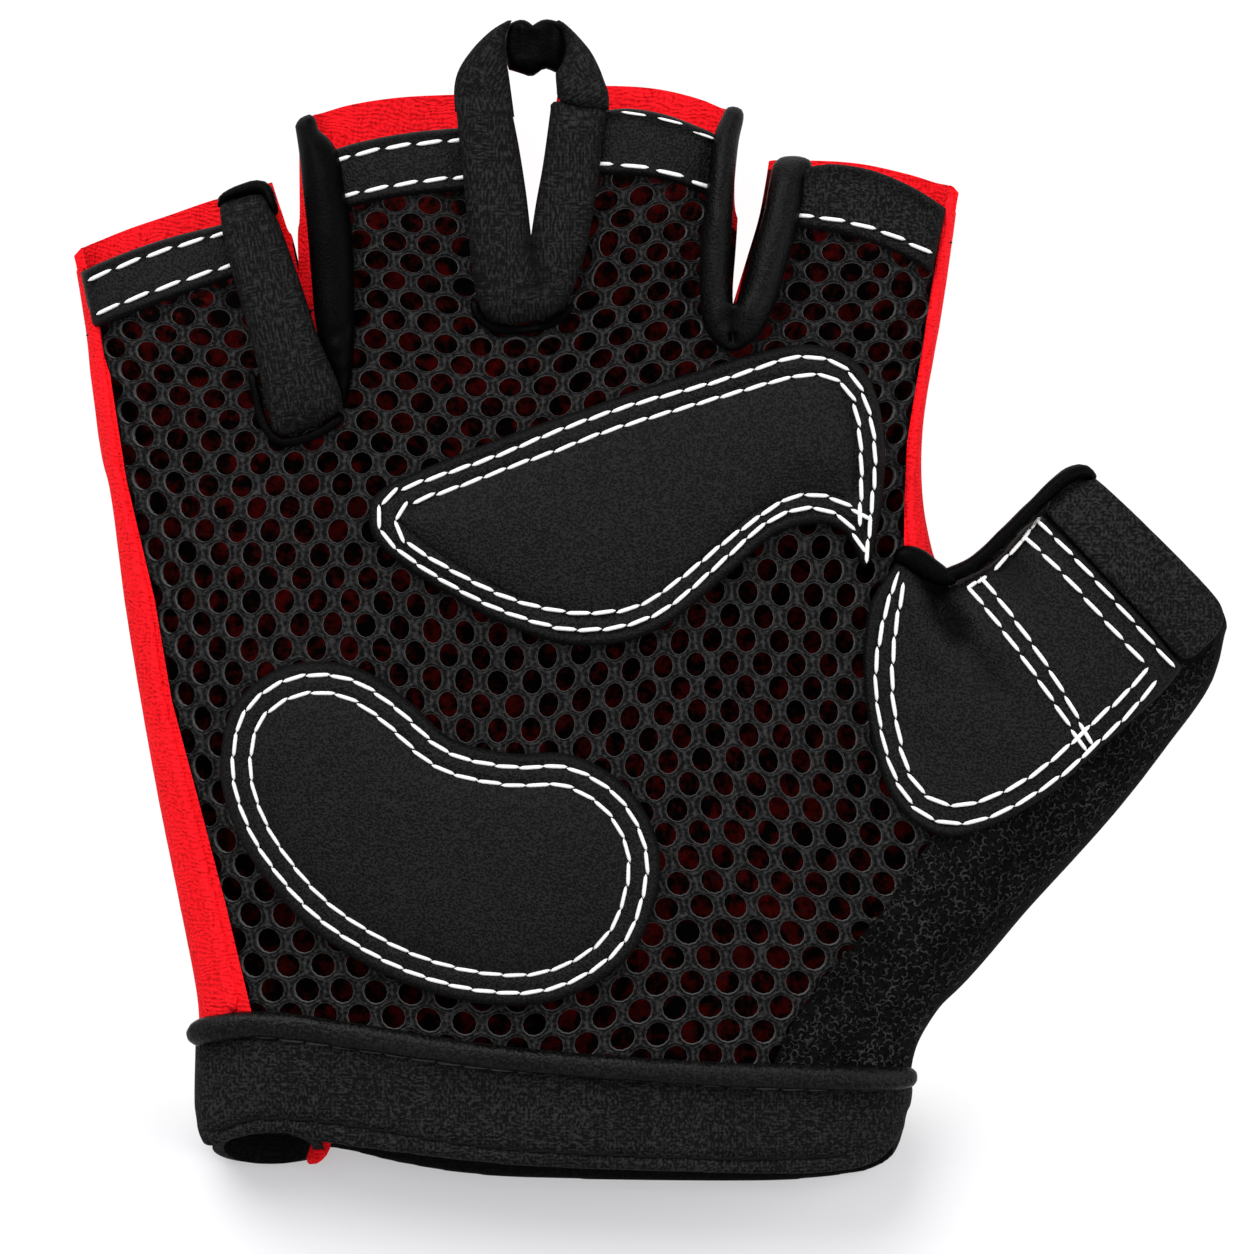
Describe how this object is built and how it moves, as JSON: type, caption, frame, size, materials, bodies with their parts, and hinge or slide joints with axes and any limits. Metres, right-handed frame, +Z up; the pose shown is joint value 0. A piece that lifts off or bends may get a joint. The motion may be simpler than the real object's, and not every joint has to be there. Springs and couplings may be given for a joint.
{
  "type": "weightlifting glove",
  "caption": "Fingerless right-hand training glove lying palm up, with open net palm, stitched leather pads, pull loop between fingers, leather thumb patch and elastic knit cuff",
  "frame": {"origin": "centre of the glove's footprint, on the surface that its back lies on", "axes": "X towards the thumb, Y towards the fingertips, Z up out of the palm"},
  "size_m": [0.1634, 0.1624, 0.0252],
  "materials": {
    "back_panel": "matt ribbed stretch cloth",
    "palm_net": "open knitted net",
    "terry_panel": "looped terry",
    "wrist_cuff": "ribbed elastic knit",
    "cuff_piping": "smooth soft leather",
    "cuff_fold": "ribbed elastic knit",
    "closure_tip": "matt ribbed stretch cloth",
    "upper_palm_pad": "fine grained soft leather",
    "heel_palm_pad": "fine grained soft leather",
    "thumb_patch": "fine grained soft leather",
    "thumb_end_band": "ribbed elastic knit",
    "thumb_piping": "smooth soft leather",
    "thumb_crotch_web": "smooth soft leather",
    "little_finger_band": "fine grained soft leather",
    "ring_finger_band": "fine grained soft leather",
    "middle_finger_band": "fine grained soft leather",
    "index_finger_band": "fine grained soft leather",
    "ring_web_binding": "smooth soft leather",
    "middle_web_binding": "smooth soft leather",
    "little_ring_pull_tab": "ribbed knit",
    "ring_middle_pull_loop": "ribbed knit"
  },
  "bodies": {
    "root": {"back_panel": "back_panel", "palm_net": "palm_net", "terry_panel": "terry_panel", "wrist_cuff": "wrist_cuff", "cuff_piping": "cuff_piping", "cuff_fold": "cuff_fold", "closure_tip": "closure_tip", "upper_palm_pad": "upper_palm_pad", "heel_palm_pad": "heel_palm_pad", "thumb_patch": "thumb_patch", "thumb_end_band": "thumb_end_band", "thumb_piping": "thumb_piping", "thumb_crotch_web": "thumb_crotch_web", "little_finger_band": "little_finger_band", "ring_finger_band": "ring_finger_band", "middle_finger_band": "middle_finger_band", "index_finger_band": "index_finger_band", "ring_web_binding": "ring_web_binding", "middle_web_binding": "middle_web_binding", "little_ring_pull_tab": "little_ring_pull_tab", "ring_middle_pull_loop": "ring_middle_pull_loop"}
  },
  "joints": []
}
